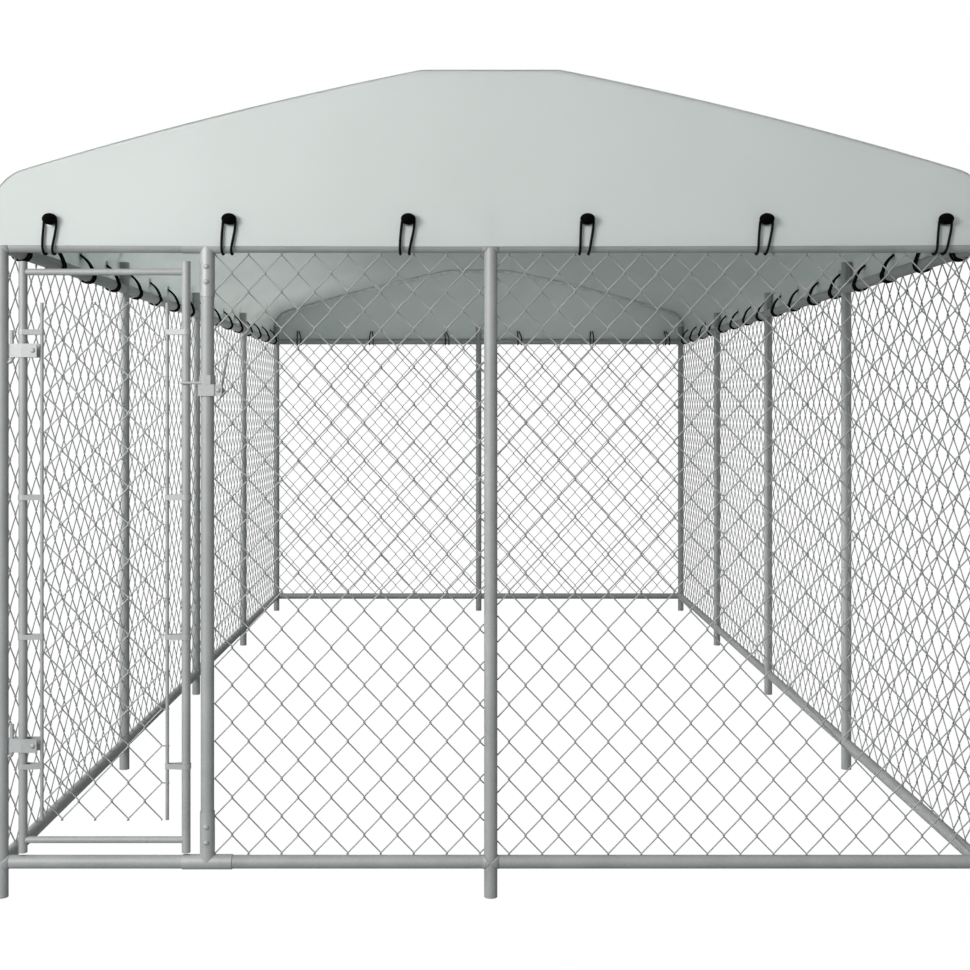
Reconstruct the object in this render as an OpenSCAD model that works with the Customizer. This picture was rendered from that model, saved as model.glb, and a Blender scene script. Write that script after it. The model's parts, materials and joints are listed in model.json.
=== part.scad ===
// Outdoor dog kennel run: a galvanised tube frame two bays wide and four bays long, chain-link
// walls, a walk-in door and a tarpaulin canopy on two bent end bows, held down by ball bungees.
// Millimetres. The origin is on the ground in the middle of the plan, +Z is up, the door faces -Y.

/* [Plan] */
// Distance between post axes along every side
bay = 1400; // [1250:10:1600]

/* [Frame tubes] */
// Outside diameter of the posts and rails
tube_d = 38; // [34:0.5:42]
// Wall of the posts and rails
tube_wall = 2; // [1.5:0.1:3]
// Height of the bottom rails' axis
low_rail_z = 100; // [70:1:160]
// Height of the top rails' axis
top_rail_z = 1862; // [1780:1:2000]
// Height of the posts above the top rails' axis
post_stub = 98; // [85:1:120]

/* [Door post] */
// Distance from the corner post's axis to the door post's axis
door_bay = 589; // [540:1:700]
// Wall of the tee connectors' sleeves
tee_wall = 2; // [1.5:0.1:3]
// Length of a tee's sleeve on the rail
tee_rail_len = 142; // [110:1:180]
// Reach of a tee's sleeve along the door post, from the rail's axis
tee_post_len = 145; // [125:1:180]
// Distance from the rail's axis to the tee's first bolt
tee_bolt_first = 60; // [45:1:70]
// Distance between the tee's two bolts
tee_bolt_pitch = 44; // [30:1:50]

/* [Door] */
// Outside diameter of the door's stiles
stile_d = 25; // [22:0.5:28]
// Outside diameter of the door's two rails
door_rail_d = 19; // [16:0.5:22]
// Wall of the door's tubes
door_wall = 1.5; // [1.2:0.1:2]
// Gap from the bottom rail's axis to the foot of the stiles
door_sill = 27; // [25:1:40]
// Gap from the top rail's axis to the top of the stiles
door_head = 44; // [36:1:60]
// Length of the stiles above the door's top rail
stile_over = 30; // [20:1:45]
// Length of the stiles below the door's bottom rail
stile_under = 36; // [25:1:50]
// Distance from the latch stile's axis to the door post's axis
latch_stile_gap = 61; // [50:1:75]
// Diameter of the tension bars that hold the door's chain-link
bar_d = 10; // [8:0.5:12]
// Distance from a stile's axis to its tension bar's axis
bar_offset = 54; // [46:1:65]
// Distance from the door's top rail to the top of the tension bars
bar_top_gap = 88; // [70:1:110]
// Distance from the door's bottom rail to the foot of the tension bars
bar_low_gap = 57; // [45:1:80]
// Height of a tension band
band_h = 15; // [12:0.5:20]
// Thickness of a tension band
band_t = 1.6; // [1:0.1:2.5]

/* [Hinges] */
// Diameter of a hinge pin
pin_d = 12; // [10:0.5:13]
// Outside diameter of the eye that turns on the pin
eye_d = 18; // [17.5:0.5:20]
// Distance from the hinge pin's axis to the hinge stile's axis
pin_to_stile = 32; // [29:0.5:36]
// Height of a hinge strap
strap_h = 39; // [30:1:45]
// Thickness of a hinge strap's cheeks
strap_t = 4; // [3:0.5:5]
// Reach of a hinge strap past the stile's axis
strap_reach = 44; // [40:0.5:46]
// Length of a hinge pin above its strap
pin_over = 39; // [10:1:50]
// Distance from the top of the door to the middle of the upper strap
strap_from_top = 255; // [200:1:350]
// Distance from the foot of the door to the middle of the lower strap
strap_from_foot = 308; // [290:1:380]

/* [Latch] */
// Height of the latch clamp on the door post
clamp_h = 33; // [28:1:38]
// Thickness of the latch clamp and of the gate stop's collar
clamp_t = 4; // [3:0.5:5]
// Height of the gate stop's collar
collar_h = 26; // [20:1:30]
// Width of the flat front of the gate stop's collar
stop_tab_w = 26; // [22:1:30]
// Diameter of the gate stop's rod and of the latch arm
latch_rod_d = 8; // [6:0.5:9]
// Length of the latch arm from its pivot
arm_len = 122; // [112:1:130]
// Distance from the door post's axis to the latch arm's pivot
pivot_x = 34; // [32:0.5:40]
// Tilt of the lifted latch arm past upright
arm_lean = 10; // [6:1:14]

/* [Bolts] */
// Diameter of the bolts through the tees, the hinge straps and the latch
bolt_d = 8; // [6:0.5:8]
// Diameter of the bolts' round heads
head_d = 15.5; // [14:0.5:17]
// Height of the bolts' round heads
head_h = 4.5; // [3.5:0.1:5]
// Width of a bolt's nut across its flats
nut_af = 13; // [12:0.5:14]
// Height of a bolt's nut
nut_h = 6.5; // [5:0.1:7]

/* [Chain-link] */
// Diameter of the chain-link wire
wire_d = 3.2; // [2.5:0.1:4]
// Width of a chain-link diamond
diamond_w = 95; // [80:1:110]
// Height of a chain-link diamond
diamond_h = 105.5; // [90:0.5:120]

/* [Canopy] */
// Thickness of the canopy's sheet
sheet_t = 2; // [1.5:0.1:3]
// Height of the canopy's hem above the top rails' axis
hem_over = 0; // [0:1:6]
// Height above the top rails' axis where the side walls turn into the eaves
eave_over = 95; // [85:1:130]
// Radius of the eaves
eave_r = 130; // [110:1:150]
// Radius of the gently arched slopes
slope_r = 12000; // [9000:100:20000]
// Pitch of the slopes beside the ridge, in degrees
ridge_pitch = 11.3; // [9:0.1:14]
// Radius of the bend between the ridge and the slopes
ridge_r = 150; // [120:1:300]
// Half the width of the flat ridge
ridge_flat = 190; // [150:1:240]

/* [Roof bows] */
// Outside diameter of the roof bows
bow_d = 25; // [20:0.5:27]
// Wall of the roof bows
bow_wall = 1.5; // [1.2:0.1:2]
// Radius of the bend at the foot of a roof bow
bow_bend_r = 104; // [95:1:105]
// Depth of the sockets that hold the roof bows' feet in the posts
socket_depth = 60; // [45:1:75]
// Thickness of a socket's or a cap's flange
cap_t = 4; // [3:0.5:5]

/* [Bungees] */
// Diameter of the elastic cord
cord_d = 6; // [4:0.5:7]
// Half the distance between a bungee's two strands
strand_half = 7; // [6:0.1:7.5]
// Height of the eyelets above the top rails' axis
eyelet_over = 72; // [66:1:78]
// Bore of an eyelet
eyelet_bore = 26; // [25:0.5:28]
// Width of an eyelet's flange
eyelet_flange = 5; // [4:0.5:6]
// Thickness of an eyelet's metal
eyelet_t = 1; // [0.8:0.1:1.2]
// Diameter of a bungee's ball
ball_d = 41; // [38:0.5:44]
// Depth of a ball's flat back from its middle
ball_back = 10; // [8:0.5:12]
// Depth of a ball's flat underside from its middle
ball_under = 14.5; // [13:0.5:16]
// Number of bungees along the front and along the back
front_bungees = 6; // [4:1:6]
// Distance between bungees along the front and the back
front_pitch = 509; // [507:0.5:511]
// Offset of the front and back rows of bungees to the right
front_shift = 20; // [19:0.5:21]
// Number of bungees along each bay of the sides
side_bungees = 4; // [3:1:5]

/* [Hidden] */
$fn = 48;
bay_count_across = 2;
bay_count_deep = 4;
weld_gap = 0.2;
slide_gap = 0.2;
turn_gap = 0.3;
seat_gap = 0.3;
cloth_gap = 0.4;
seam_gap = 0.2;
past = 1;

// Plan and frame
half_w = bay * bay_count_across / 2;
half_l = bay * bay_count_deep / 2;
tube_r = tube_d / 2;
post_h = top_rail_z + post_stub;
post_y = [for (k = [0:bay_count_deep]) -half_l + k * bay];
door_post_x = -half_w + door_bay;
tee_r = tube_r + slide_gap + tee_wall;
tee_bolts_at = [tee_bolt_first, tee_bolt_first + tee_bolt_pitch];

// Door
eye_gap = 1;
pin_x = -half_w + tube_r + eye_gap + eye_d / 2;
hinge_stile_x = pin_x + pin_to_stile;
latch_stile_x = door_post_x - latch_stile_gap;
door_z0 = low_rail_z + door_sill;
door_z1 = top_rail_z - door_head;
door_rail_z = [door_z0 + stile_under, door_z1 - stile_over];
bar_x = [hinge_stile_x + bar_offset, latch_stile_x - bar_offset];
bar_z0 = door_rail_z[0] + bar_low_gap;
bar_z1 = door_rail_z[1] - bar_top_gap;
band_from_foot = [247, 617];
band_from_top = [675, 202];
band_z = concat([for (d = band_from_foot) door_z0 + d], [for (d = band_from_top) door_z1 - d]);
strap_z = [door_z0 + strap_from_foot, door_z1 - strap_from_top];
strap_y = stile_d / 2 + slide_gap;
strap_bolt_edge = 11;
strap_bolt_x = hinge_stile_x + strap_reach - strap_bolt_edge;
pin_bend_r = 10;
pin_collar_h = 3;
pin_nut_af = 18;
pin_nut_h = 9;
pin_tail = 14;

// Chain-link
wire_r = wire_d / 2;
cross_gap = 0.2;
wire_layer = wire_r + cross_gap / 2;
wire_inset = seat_gap + wire_r;
left_bay_shift = 5;
right_bay_shift = 35;
door_mesh_shift = 51;
panel_w = bay - 2 * (tube_r + wire_inset);
mesh_z0 = low_rail_z + tube_r + wire_inset;
mesh_h = top_rail_z - low_rail_z - 2 * (tube_r + wire_inset);
door_panel_z0 = low_rail_z + tee_r + wire_inset;
door_panel_h = top_rail_z - low_rail_z - 2 * (tee_r + wire_inset);

// Latch: the pivot passes through the middle of an opening of the chain-link beside the door post
latch_row_count = 12;
latch_drop = 14;
clamp_r = tube_r + slide_gap + clamp_t;
panel_rows = round(door_panel_h / diamond_h);
latch_z = door_panel_z0 + (latch_row_count + 0.5) * door_panel_h / panel_rows - latch_drop;
arm_y = clamp_r + turn_gap + latch_rod_d / 2;
ear_y = [-20, -8];
ear_margin = 3;
boss_r = 7;
arm_eye_wall = 6;
lug_x = [-16, -8];
lug_h = 8;
collar_z = latch_z + clamp_h / 2 + seat_gap;
stop_y = stile_d / 2 + turn_gap + latch_rod_d / 2;
stop_past = 12;

// Canopy
sheet_in = tee_r + cloth_gap;
sheet_out = sheet_in + sheet_t;
side_x = half_w + sheet_out;
end_y = half_l + sheet_out;
hem_z = top_rail_z + hem_over;
eave_z = top_rail_z + eave_over;
eave_turn = roof_turn(side_x, 0, eave_r);
ridge_z = eave_z + ridge_r + (slope_r - ridge_r) * cos(ridge_pitch) - (slope_r - eave_r) * cos(eave_turn);
arc_steps = 8;

// Roof bows
bow_r = bow_d / 2;
bow_inset = sheet_t + seat_gap + bow_r;
bow_turn = roof_turn(half_w, bow_inset, bow_bend_r);
socket_r = tube_r - tube_wall - slide_gap;
socket_floor = 4;
bow_foot_z = post_h + cap_t - socket_depth;
bow_sides = 8;

// Bungees
cord_r = cord_d / 2;
eyelet_z = top_rail_z + eyelet_over;
eyelet_r = eyelet_bore / 2;
strand_y = sheet_out + eyelet_t + seat_gap + cord_r;
ball_y = sheet_out + eyelet_t + seat_gap + ball_back;
sheet_mid = sheet_in + sheet_t / 2;
strand_leave = 180 - atan(eyelet_over / sheet_mid) - acos(strand_y / norm([sheet_mid, eyelet_over]));
strand_run = strand_y * (1 + cos(strand_leave)) / sin(strand_leave);
strand_end = 6;
strand_steps = 5;
cord_sides = 6;
side_gap = bay / side_bungees;

zinc = "silver";
dark_zinc = "darkgray";
tarp = "gainsboro";
black = "dimgray";

// Shared shapes

// Slope angle at which the roof line turns into an eave of radius r that ends upright at x
function roof_turn(x, inset, r) =
  asin((x - ridge_flat - r + (slope_r - ridge_r) * sin(ridge_pitch)) / (slope_r - inset - r));

// Unit vector in the roof's cross-section, a degrees from upright
function tilt(a) = [sin(a), cos(a)];

// Middles of the roof's arcs, from the ridge outwards
function ridge_mid() = [ridge_flat, ridge_z - ridge_r];
function slope_mid() = ridge_mid() + (ridge_r - slope_r) * tilt(ridge_pitch);
function eave_mid(inset, turn, r) = slope_mid() + (slope_r - inset - r) * tilt(turn);

// Points along an arc of the roof's cross-section, from slope a0 to slope a1
function roof_arc(mid, r, a0, a1, steps = arc_steps) =
  [for (i = [0:steps]) mid + r * tilt(a0 + (a1 - a0) * i / steps)];

function drop_first(list) = [for (i = [1:len(list) - 1]) list[i]];
// The mirror image of a row of points across the ridge, in the other order
function mirrored(list) = [for (i = [len(list) - 1:-1:0]) [-list[i][0], list[i][1]]];
function unit(v) = v / norm(v);

// Direction of a path of [x, z] points at point i: the mean of the runs on either side
function heading(path, i) =
  unit(
    (i > 0 ? unit(path[i] - path[i - 1]) : [0, 0])
    + (i < len(path) - 1 ? unit(path[i + 1] - path[i]) : [0, 0])
  );

// Rings of points round a path in the XZ plane, square to its direction
function rings(path, r, sides) = [
  for (i = [0:len(path) - 1], k = [0:sides - 1])
    let (d = heading(path, i), a = 360 * k / sides)
      [path[i][0] - r * cos(a) * d[1], r * sin(a), path[i][1] + r * cos(a) * d[0]]
];

// Quads between the rings of a swept skin whose points start at index first
function skin(count, sides, first) = [
  for (i = [0:count - 2], k = [0:sides - 1])
    let (a = first + i * sides, next = (k + 1) % sides)
      [a + k, a + sides + k, a + sides + next, a + next]
];

function backwards(face) = [for (i = [len(face) - 1:-1:0]) face[i]];

// Rod of round section bent along a path
module bent_rod(path, r, sides) {
  last = (len(path) - 1) * sides;
  polyhedron(
    rings(path, r, sides),
    concat(
      skin(len(path), sides, 0),
      [[for (k = [0:sides - 1]) k], [for (k = [sides - 1:-1:0]) last + k]]
    )
  );
}

// Open tube bent along a path
module bent_tube(path, r_out, r_in, sides) {
  count = len(path);
  bore = count * sides;
  last = (count - 1) * sides;
  mouth = [for (k = [0:sides - 1]) let (n = (k + 1) % sides) [k, n, bore + n, bore + k]];
  far_mouth = [for (f = mouth) backwards(f + [last, last, last, last])];
  polyhedron(
    concat(rings(path, r_out, sides), rings(path, r_in, sides)),
    concat(
      skin(count, sides, 0),
      [for (f = skin(count, sides, bore)) backwards(f)],
      mouth, far_mouth
    )
  );
}

module tube(d, wall, h) {
  difference() {
    cylinder(d = d, h = h);
    translate([0, 0, -past]) cylinder(d = d - 2 * wall, h = h + 2 * past);
  }
}

// Room that a rail leaves for an upright post and, past its diagonals, for the next rail
module rail_end_cut() {
  far = 2 * tube_d;
  translate([0, 0, -tube_d]) {
    cylinder(r = tube_r + weld_gap, h = 2 * tube_d);
    linear_extrude(height = 2 * tube_d)
      polygon([[weld_gap, 0], [far, far], [-far, far], [-far, -far], [far, -far]]);
  }
}

// Rail along +X between two post axes, coped onto both posts
module rail() {
  difference() {
    rotate([0, 90, 0]) tube(tube_d, tube_wall, bay);
    rail_end_cut();
    translate([bay, 0, 0]) rotate([0, 0, 180]) rail_end_cut();
  }
}

module rail_row(from, turn, count, z) {
  color(zinc)
    for (k = [0:count - 1])
      translate([from[0], from[1], z]) rotate([0, 0, turn]) translate([k * bay, 0, 0]) rail();
}

module post_at(x, y) {
  color(zinc) translate([x, y, 0]) tube(tube_d, tube_wall, post_h);
}

// Round-headed bolt along +Y with its head's seat at y = 0
module round_bolt(length) {
  ball = (head_d * head_d / 4 + head_h * head_h) / (2 * head_h);
  rotate([-90, 0, 0]) {
    cylinder(d = bolt_d, h = length);
    rotate_extrude()
      intersection() {
        translate([0, ball - head_h]) circle(r = ball);
        translate([0, -head_h]) square([head_d, head_h]);
      }
  }
}

// Hexagon nut along +Y with its seat at y = 0
module nut(af, bore, h) {
  rotate([-90, 0, 0])
    difference() {
      cylinder(d = af / cos(30), h = h, $fn = 6);
      translate([0, 0, -past]) cylinder(d = bore + 2 * slide_gap, h = h + 2 * past);
    }
}

module bolt_hole(length) {
  translate([0, -length / 2, 0]) rotate([-90, 0, 0]) cylinder(d = bolt_d + 2 * slide_gap, h = length);
}

// Width of an opening in a panel of width w, which holds whole openings
function opening(w) = w / round(w / diamond_w);

// One family of slanting wires across a w by h panel of openings, in the plane y = 0, moved along by shift
module wire_family(w, h, open_w, shift) {
  up = round(h / diamond_h);
  slope = (h / up) / open_w;
  for (k = [shift > 0 ? -up : 1 - up:ceil((w - shift) / open_w - past / w) - 1]) {
    foot = k * open_w + shift;
    x0 = max(0, foot);
    x1 = min(w, foot + h / slope);
    translate([x0, 0, slope * (x0 - foot)])
      rotate([0, 90 - atan(slope), 0]) cylinder(d = wire_d, h = (x1 - x0) * norm([1, slope]));
  }
}

// Chain-link panel: wires that rise to the right pass in front of wires that rise to the left
module chain_link(w, h, open_w, shift = 0) {
  rest = (w - shift) % open_w;
  translate([0, -wire_layer, 0]) wire_family(w, h, open_w, shift);
  translate([w, wire_layer, 0]) mirror([1, 0, 0])
    wire_family(w, h, open_w, rest < open_w - past ? rest : 0);
}

// Chain-link panel of one whole bay along +X from a post's axis
module bay_panel(shift) {
  translate([tube_r + wire_inset, 0, mesh_z0]) chain_link(panel_w, mesh_h, opening(panel_w), shift);
}

module panel_row(from, turn, shifts) {
  color(zinc)
    for (k = [0:len(shifts) - 1])
      translate([from[0], from[1], 0]) rotate([0, 0, turn]) translate([k * bay, 0, 0]) bay_panel(shifts[k]);
}

module side_panels(x) {
  panel_row([x, -half_l], 90, [for (k = [1:bay_count_deep]) 0]);
}

// Tee connectors of the door post

module tee(z, up) {
  color(dark_zinc)
    translate([door_post_x, -half_l, z]) mirror([0, 0, up ? 0 : 1])
      difference() {
        union() {
          translate([-tee_rail_len / 2, 0, 0]) rotate([0, 90, 0]) cylinder(r = tee_r, h = tee_rail_len);
          cylinder(r = tee_r, h = tee_post_len);
        }
        translate([-tee_rail_len / 2 - past, 0, 0]) rotate([0, 90, 0])
          cylinder(r = tube_r + slide_gap, h = tee_rail_len + 2 * past);
        cylinder(r = tube_r + slide_gap, h = tee_post_len + past);
        for (z = tee_bolts_at) translate([0, 0, z]) bolt_hole(4 * tee_r);
      }
}

module at_tee_bolts() {
  for (z = tee_bolts_at) {
    translate([door_post_x, -half_l, low_rail_z + z]) children();
    translate([door_post_x, -half_l, top_rail_z - z]) children();
  }
}

module door_post() {
  color(zinc)
    difference() {
      translate([door_post_x, -half_l, low_rail_z]) tube(tube_d, tube_wall, top_rail_z - low_rail_z);
      for (z = [low_rail_z, top_rail_z])
        translate([door_post_x - tube_d, -half_l, z]) rotate([0, 90, 0])
          cylinder(r = tube_r + weld_gap, h = 2 * tube_d);
      at_tee_bolts() bolt_hole(2 * tube_d);
    }
}

module tee_bolts() {
  color(dark_zinc) at_tee_bolts()
    translate([0, -tee_r - weld_gap, 0]) round_bolt(2 * tee_r + nut_h + 2 * past);
}

module tee_nuts() {
  color(dark_zinc) at_tee_bolts() translate([0, tee_r + weld_gap, 0]) nut(nut_af, bolt_d, nut_h);
}

// Posts with the hinge pins' holes in the corner post beside the door

module hinge_corner_post() {
  difference() {
    post_at(-half_w, -half_l);
    for (z = strap_z)
      translate([-half_w - tube_d, -half_l, pin_shank_z(z)]) rotate([0, 90, 0])
        cylinder(d = pin_d + 2 * slide_gap, h = 2 * tube_d);
  }
}

// Chain-link rows

module front_chain_link() {
  x0 = door_post_x + tee_r + wire_inset;
  w = -tube_r - wire_inset - x0;
  color(zinc)
    translate([x0, -half_l, door_panel_z0]) chain_link(w, door_panel_h, opening(w));
  panel_row([0, -half_l], 0, [right_bay_shift]);
}

// Door frame

module stile(x) {
  color(zinc) translate([x, -half_l, door_z0]) tube(stile_d, door_wall, door_z1 - door_z0);
}

module door_rail(z) {
  color(zinc)
    difference() {
      translate([hinge_stile_x, -half_l, z]) rotate([0, 90, 0])
        tube(door_rail_d, door_wall, latch_stile_x - hinge_stile_x);
      for (x = [hinge_stile_x, latch_stile_x])
        translate([x, -half_l, z - stile_d]) cylinder(r = stile_d / 2 + weld_gap, h = 2 * stile_d);
    }
}

module door_tension_bars() {
  color(zinc)
    for (x = bar_x) translate([x, -half_l, bar_z0]) cylinder(d = bar_d, h = bar_z1 - bar_z0);
}

// Outline of a strap drawn tight round two circles, the second at distance far along +X
module belt(r1, r2, far) {
  lean = asin((r1 - r2) / far);
  circle(r = r1);
  translate([far, 0]) circle(r = r2);
  polygon([
    r1 * tilt(lean), [far, 0] + r2 * tilt(lean),
    [far, 0] + r2 * tilt(180 - lean), r1 * tilt(180 - lean)
  ]);
}

module tension_band() {
  stile_fit = stile_d / 2 + slide_gap;
  bar_fit = bar_d / 2 + slide_gap;
  translate([0, 0, -band_h / 2]) linear_extrude(height = band_h)
    difference() {
      belt(stile_fit + band_t, bar_fit + band_t, bar_offset);
      belt(stile_fit, bar_fit, bar_offset);
    }
}

module door_tension_bands() {
  color(dark_zinc)
    for (z = band_z) {
      translate([hinge_stile_x, -half_l, z]) tension_band();
      translate([latch_stile_x, -half_l, z]) mirror([1, 0, 0]) tension_band();
    }
}

module door_chain_link() {
  x0 = bar_x[0] + bar_d / 2 + wire_inset;
  x1 = bar_x[1] - bar_d / 2 - wire_inset;
  color(zinc)
    translate([x0, -half_l, bar_z0]) chain_link(x1 - x0, bar_z1 - bar_z0, diamond_w, door_mesh_shift);
}

// Hinges

function pin_shank_z(z) = z - strap_h / 2 - seat_gap - pin_collar_h - pin_bend_r;

// Strap seen from above: an eye on the pin, a saddle round the stile and two cheeks with a bolt
module strap_outline() {
  cheek = strap_y + strap_t;
  difference() {
    union() {
      circle(d = eye_d);
      belt(eye_d / 2, stile_d / 2 + slide_gap + strap_t, pin_to_stile);
      translate([pin_to_stile, -cheek]) square([strap_reach, 2 * cheek]);
    }
    circle(d = pin_d + 2 * turn_gap);
    translate([pin_to_stile, 0]) circle(d = stile_d + 2 * slide_gap);
    translate([pin_to_stile, -strap_y]) square([strap_reach + past, 2 * strap_y]);
  }
}

module at_strap_bolts() {
  for (z = strap_z) translate([strap_bolt_x, -half_l, z]) children();
}

module hinge_straps() {
  color(dark_zinc)
    difference() {
      for (z = strap_z)
        translate([pin_x, -half_l, z - strap_h / 2]) linear_extrude(height = strap_h) strap_outline();
      at_strap_bolts() bolt_hole(4 * stile_d);
    }
}

module hinge_strap_bolts() {
  grip = strap_y + strap_t;
  color(dark_zinc) at_strap_bolts() translate([0, -grip, 0]) round_bolt(2 * grip + nut_h);
}

module hinge_strap_nuts() {
  color(dark_zinc) at_strap_bolts() translate([0, strap_y + strap_t, 0]) nut(nut_af, bolt_d, nut_h);
}

// Pins: each shank passes through the corner post, bends upwards and carries the eye on a collar
module hinge_pins() {
  shank = tube_r + half_w + pin_x - pin_bend_r + pin_tail;
  color(dark_zinc)
    for (z = strap_z)
      translate([pin_x, -half_l, pin_shank_z(z)]) {
        translate([-pin_bend_r - shank, 0, 0]) rotate([0, 90, 0]) cylinder(d = pin_d, h = shank);
        translate([-pin_bend_r, 0, pin_bend_r]) rotate([90, 0, 0]) rotate([0, 0, -90])
          rotate_extrude(angle = 90) translate([pin_bend_r, 0]) circle(d = pin_d);
        translate([0, 0, pin_bend_r])
          cylinder(d = pin_d, h = pin_collar_h + seat_gap + strap_h + pin_over);
        translate([0, 0, pin_bend_r]) cylinder(d = eye_d, h = pin_collar_h);
      }
}

module hinge_pin_nuts() {
  color(dark_zinc)
    for (z = strap_z)
      translate([-half_w - tube_r - weld_gap, -half_l, pin_shank_z(z)]) rotate([0, 0, 90])
        nut(pin_nut_af, pin_d, pin_nut_h);
}

// Latch

module clamp_bore() {
  translate([0, 0, -past]) cylinder(r = tube_r + slide_gap, h = clamp_h + collar_h);
}

// Clamp with an ear and a boss for the arm's pivot, and a lug at the back that the dropped arm rests on
module latch_clamp() {
  ear_end = pivot_x + boss_r + ear_margin;
  boss_back = arm_y - latch_rod_d / 2 - turn_gap;
  lug_top = clamp_h / 2 - latch_rod_d / 2 - turn_gap;
  color(dark_zinc)
    translate([door_post_x, -half_l, latch_z - clamp_h / 2])
      difference() {
        union() {
          cylinder(r = clamp_r, h = clamp_h);
          translate([-clamp_r, -clamp_r, 0]) cube([2 * clamp_r, clamp_r, clamp_h]);
          translate([0, ear_y[0], 0]) cube([ear_end, ear_y[1] - ear_y[0], clamp_h]);
          translate([pivot_x, ear_y[1] - past, clamp_h / 2]) rotate([-90, 0, 0])
            cylinder(r = boss_r, h = boss_back - ear_y[1] + past);
          translate([lug_x[0], 0, lug_top - lug_h])
            cube([lug_x[1] - lug_x[0], arm_y + latch_rod_d / 2, lug_h]);
        }
        clamp_bore();
        translate([pivot_x, 0, clamp_h / 2]) bolt_hole(4 * tube_d);
      }
}

module at_pivot(y) {
  translate([door_post_x + pivot_x, -half_l + y, latch_z]) children();
}

module latch_bolt() {
  nut_seat = arm_y + latch_rod_d / 2 + turn_gap;
  color(dark_zinc) at_pivot(ear_y[0]) round_bolt(nut_seat - ear_y[0] + nut_h);
}

module latch_nut() {
  color(dark_zinc) at_pivot(arm_y + latch_rod_d / 2 + turn_gap) nut(nut_af, bolt_d, nut_h);
}

// Arm lifted clear of the door: it leans past upright, and drops behind the latch stile
module latch_arm() {
  eye_r = bolt_d / 2 + arm_eye_wall;
  color(dark_zinc)
    at_pivot(arm_y)
      difference() {
        union() {
          rotate([90, 0, 0]) cylinder(r = eye_r, h = latch_rod_d, center = true);
          rotate([0, arm_lean, 0]) cylinder(d = latch_rod_d, h = arm_len);
        }
        bolt_hole(4 * latch_rod_d);
      }
}

// Collar with the rod that the closed door's latch stile rests against
module gate_stop() {
  rod_len = latch_stile_gap + stop_past;
  color(dark_zinc)
    translate([door_post_x, -half_l, collar_z])
      difference() {
        union() {
          cylinder(r = clamp_r, h = collar_h);
          translate([-stop_tab_w / 2, -clamp_r, 0]) cube([stop_tab_w, clamp_r, collar_h]);
          translate([-rod_len, -stop_y, latch_rod_d / 2]) rotate([0, 90, 0])
            cylinder(d = latch_rod_d, h = rod_len);
        }
        clamp_bore();
      }
}

// Roof bows at the two ends with their sockets in the corner posts, and caps on the other posts

// Half of a bow's centre line, from its foot in the socket to the ridge
function half_bow_path() = concat(
  [[half_w, bow_foot_z]],
  roof_arc(eave_mid(bow_inset, bow_turn, bow_bend_r), bow_bend_r, 90, bow_turn, 5),
  drop_first(roof_arc(slope_mid(), slope_r - bow_inset, bow_turn, ridge_pitch, 4)),
  drop_first(roof_arc(ridge_mid(), ridge_r - bow_inset, ridge_pitch, 0, 2))
);

function whole_bow_path() = concat(half_bow_path(), mirrored(half_bow_path()));

module roof_bow(y) {
  color(zinc) translate([0, y, 0]) bent_tube(whole_bow_path(), bow_r, bow_r - bow_wall, bow_sides);
}

module post_plug(bore) {
  plug = socket_depth + socket_floor - cap_t;
  difference() {
    union() {
      translate([0, 0, post_h - plug]) cylinder(r = socket_r, h = plug);
      translate([0, 0, post_h]) cylinder(d = tube_d, h = cap_t);
    }
    if (bore > 0) translate([0, 0, bow_foot_z - seat_gap]) cylinder(d = bore, h = socket_depth + past);
  }
}

module bow_sockets() {
  color(dark_zinc)
    for (x = [-half_w, half_w], y = [-half_l, half_l])
      translate([x, y, 0]) post_plug(bow_d + 2 * slide_gap);
}

module post_caps() {
  color(dark_zinc) {
    for (y = [-half_l, half_l]) translate([0, y, 0]) post_plug(0);
    for (x = [-half_w, half_w], k = [1:bay_count_deep - 1]) translate([x, post_y[k], 0]) post_plug(0);
  }
}

// Canopy

// Half of the roof sheet's cross-section between two arcs of points, one sheet thick
module sheet_strip(outer, inner) {
  polygon(concat(outer, [for (i = [len(inner) - 1:-1:0]) inner[i]]));
}

module along_roof() {
  translate([0, end_y, 0]) rotate([90, 0, 0]) linear_extrude(height = 2 * end_y) children();
}

// Panels sewn edge to edge: wall, eave and slope of the right half
module half_roof() {
  mid = eave_mid(0, eave_turn, eave_r);
  seam = seam_gap / eave_r * 180 / PI;
  slope_seam = seam_gap / slope_r * 180 / PI;
  along_roof() translate([side_x - sheet_t, hem_z]) square([sheet_t, eave_z - hem_z - seam_gap]);
  along_roof() sheet_strip(
    roof_arc(mid, eave_r, eave_turn + seam, 90), roof_arc(mid, eave_r - sheet_t, eave_turn + seam, 90)
  );
  along_roof() sheet_strip(
    roof_arc(slope_mid(), slope_r, ridge_pitch + slope_seam, eave_turn),
    roof_arc(slope_mid(), slope_r - sheet_t, ridge_pitch + slope_seam, eave_turn)
  );
}

// Panel along the ridge
module ridge_panel() {
  outer = roof_arc(ridge_mid(), ridge_r, 0, ridge_pitch);
  inner = roof_arc(ridge_mid(), ridge_r - sheet_t, 0, ridge_pitch);
  along_roof() sheet_strip(concat(mirrored(outer), outer), concat(mirrored(inner), inner));
}

// Places of the bungees as [x, y, turn], each turned so that its outside faces local -Y
function front_row() = [for (i = [0:front_bungees - 1])
  front_shift + (i - (front_bungees - 1) / 2) * front_pitch];
function side_row() = [for (k = [0:bay_count_deep * side_bungees - 1]) -half_l + (k + 0.5) * side_gap];

module at_front_bungees() {
  for (x = front_row()) translate([x, -half_l, 0]) children();
}

module at_back_bungees() {
  for (x = front_row()) translate([x, half_l, 0]) rotate([0, 0, 180]) children();
}

module at_side_bungees() {
  for (y = side_row()) {
    translate([-half_w, y, 0]) rotate([0, 0, -90]) children();
    translate([half_w, y, 0]) rotate([0, 0, 90]) children();
  }
}

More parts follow.
